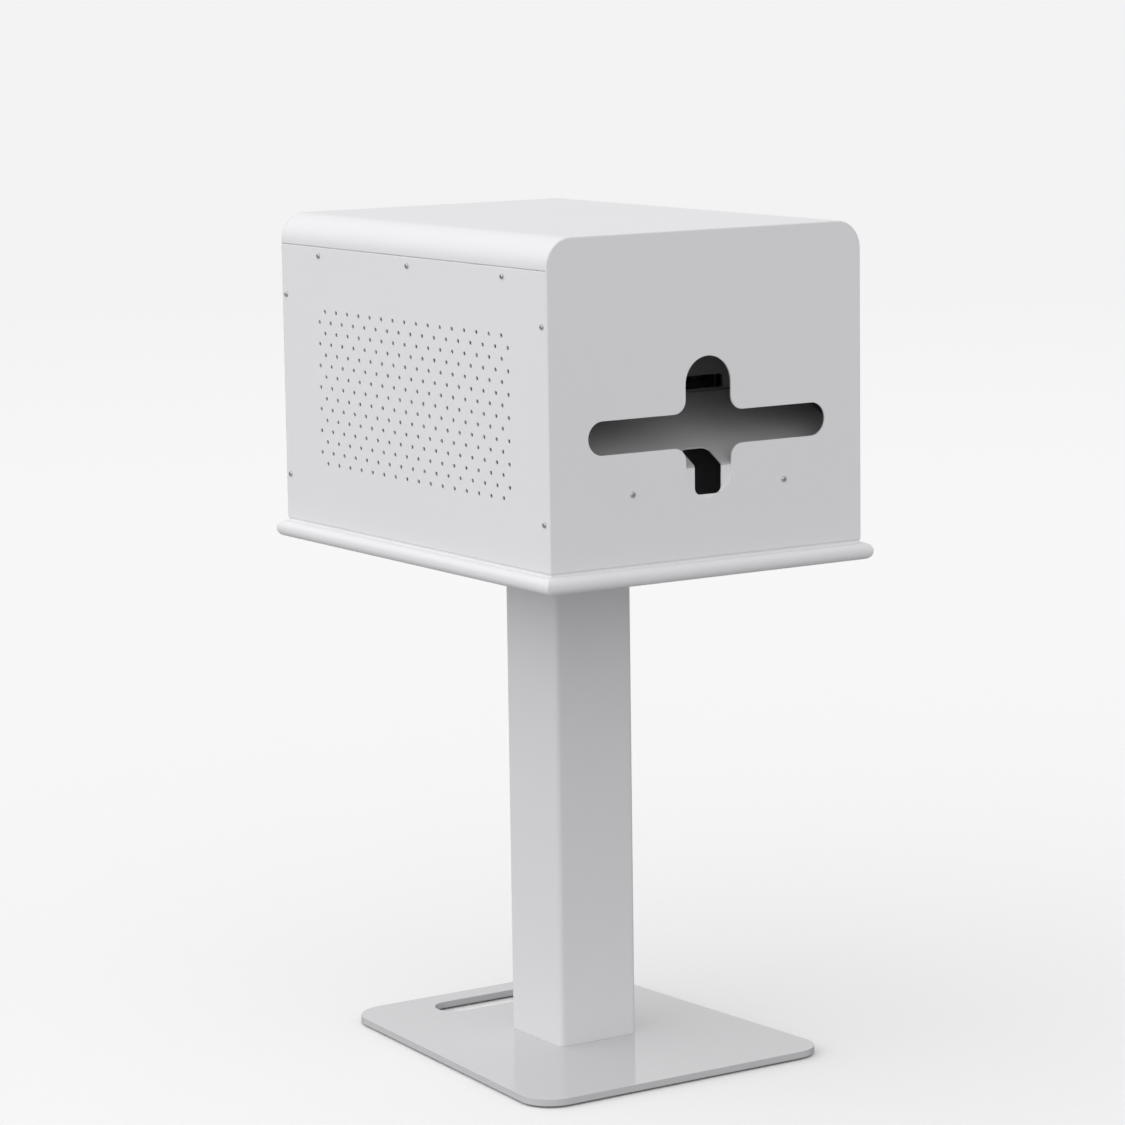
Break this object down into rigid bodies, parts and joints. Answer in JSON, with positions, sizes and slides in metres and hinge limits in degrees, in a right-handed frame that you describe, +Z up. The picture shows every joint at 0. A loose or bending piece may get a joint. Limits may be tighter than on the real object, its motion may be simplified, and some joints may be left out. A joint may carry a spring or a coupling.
{
  "type": "photo booth print station",
  "caption": "Sheet-steel photo print cabinet with a slotted front and perforated sides, on a square post and floor plate, with a lockable rear door and a printer inside.",
  "frame": {"origin": "on the floor, under the middle of the post", "axes": "+Z up; the face with the print slot looks along -Y; +X is to the right of a person who faces that slot"},
  "size_m": [0.346, 0.466, 0.765],
  "materials": {
    "white_powder": "satin powder coat",
    "zinc_steel": "zinc plated sheet",
    "screw_steel": "plated, satin",
    "hinge_steel": "stainless, satin",
    "lock_chrome": "polished",
    "black_rubber": "matt",
    "printer_shell": "fine textured dark paint",
    "printer_plastic": "fine moulded texture",
    "roller_rubber": "ground",
    "photo_paper": "smooth",
    "black_plastic": "satin",
    "ribbon_film": "glossy film",
    "machined_aluminium": "machined",
    "circuit_board": "solder mask",
    "filter_foam": "open-cell foam"
  },
  "bodies": {
    "cabinet": {"base_plate": "white_powder", "post_tube": "white_powder", "cabinet_tray": "white_powder", "front_panel": "white_powder", "rear_frame": "white_powder", "top_cover": "white_powder", "side_panel_left": "white_powder", "side_panel_right": "white_powder", "print_chute": "white_powder", "post_foot_plate": "zinc_steel", "post_head_plate": "zinc_steel", "tray_doubler": "zinc_steel", "printer_shelf": "zinc_steel", "lock_strike": "zinc_steel", "media_frame_left": "zinc_steel", "media_frame_right": "zinc_steel", "printer_base": "zinc_steel", "drive_motor": "zinc_steel", "base_bolts": "screw_steel", "head_bolts": "screw_steel", "tray_screws": "screw_steel", "side_screws_left": "screw_steel", "side_screws_right": "screw_steel", "chute_screws": "screw_steel", "chute_nuts": "screw_steel", "shelf_screws": "screw_steel", "hinge_leaf_frame": "hinge_steel", "hinge_pin": "hinge_steel", "hinge_rivets_frame": "hinge_steel", "base_pads": "black_rubber", "post_grommet": "black_rubber", "floor_grommet": "black_rubber", "printer_feet": "black_rubber", "printer_cover": "printer_shell", "printer_bezel": "printer_plastic", "printer_front_door": "printer_plastic", "fan_frame": "black_plastic", "power_inlet": "black_plastic", "switch_frame": "black_plastic", "print_head": "machined_aluminium", "paper_cutter": "machined_aluminium", "control_board": "circuit_board", "vent_filters": "filter_foam"},
    "rear_door": {"rear_door": "white_powder", "hinge_leaf_door": "hinge_steel", "hinge_rivets_door": "hinge_steel", "lock_body": "lock_chrome", "lock_nut": "screw_steel"},
    "lock_plug": {"lock_plug": "lock_chrome", "lock_cam": "zinc_steel", "lock_cam_nut": "screw_steel"},
    "paper_spool": {"paper_roll": "photo_paper", "paper_hub": "black_plastic"},
    "ribbon_supply": {"ribbon_supply": "ribbon_film"},
    "ribbon_takeup": {"ribbon_takeup": "ribbon_film"},
    "platen_roller": {"platen_roller": "roller_rubber"},
    "exit_roller_lower": {"exit_roller_lower": "roller_rubber"},
    "exit_roller_upper": {"exit_roller_upper": "roller_rubber"},
    "fan_rotor": {"fan_rotor": "black_plastic"},
    "power_rocker": {"power_rocker": "black_plastic"}
  },
  "joints": [
    {"name": "rear_door_hinge", "type": "hinge", "parent": "cabinet", "child": "rear_door", "pos_m": [-0.1424, 0.2279, 0.615], "axis": [0, 0, 1], "range_deg": [0, 110]},
    {"name": "lock_turn", "type": "hinge", "parent": "rear_door", "child": "lock_plug", "pos_m": [0.121, 0.225, 0.615], "axis": [0, -1, 0], "range_deg": [0, 90]},
    {"name": "platen_spin", "type": "hinge", "parent": "cabinet", "child": "platen_roller", "pos_m": [0, -0.0105, 0.613], "axis": [1, 0, 0], "continuous": true},
    {"name": "paper_spin", "type": "hinge", "parent": "cabinet", "child": "paper_spool", "pos_m": [0, 0.1215, 0.58], "axis": [1, 0, 0], "continuous": true},
    {"name": "ribbon_supply_spin", "type": "hinge", "parent": "cabinet", "child": "ribbon_supply", "pos_m": [0, 0.0265, 0.6528], "axis": [1, 0, 0], "continuous": true},
    {"name": "ribbon_takeup_spin", "type": "hinge", "parent": "cabinet", "child": "ribbon_takeup", "pos_m": [0, -0.0535, 0.6528], "axis": [1, 0, 0], "continuous": true},
    {"name": "exit_lower_spin", "type": "hinge", "parent": "cabinet", "child": "exit_roller_lower", "pos_m": [0, -0.1005, 0.615], "axis": [1, 0, 0], "continuous": true},
    {"name": "exit_upper_spin", "type": "hinge", "parent": "cabinet", "child": "exit_roller_upper", "pos_m": [0, -0.1005, 0.6274], "axis": [1, 0, 0], "continuous": true},
    {"name": "fan_spin", "type": "hinge", "parent": "cabinet", "child": "fan_rotor", "pos_m": [0.044, 0.1943, 0.617], "axis": [0, 1, 0], "continuous": true},
    {"name": "power_rock", "type": "hinge", "parent": "cabinet", "child": "power_rocker", "pos_m": [-0.11075, 0.1985, 0.585], "axis": [1, 0, 0], "range_deg": [-22, 0]}
  ],
  "couplings": [
    {"joint": "platen_spin", "follows": "paper_spin", "ratio": -6.875},
    {"joint": "exit_lower_spin", "follows": "paper_spin", "ratio": -9.1667},
    {"joint": "exit_upper_spin", "follows": "paper_spin", "ratio": 9.1667},
    {"joint": "ribbon_supply_spin", "follows": "paper_spin", "ratio": -3.2353},
    {"joint": "ribbon_takeup_spin", "follows": "paper_spin", "ratio": -5.5}
  ]
}
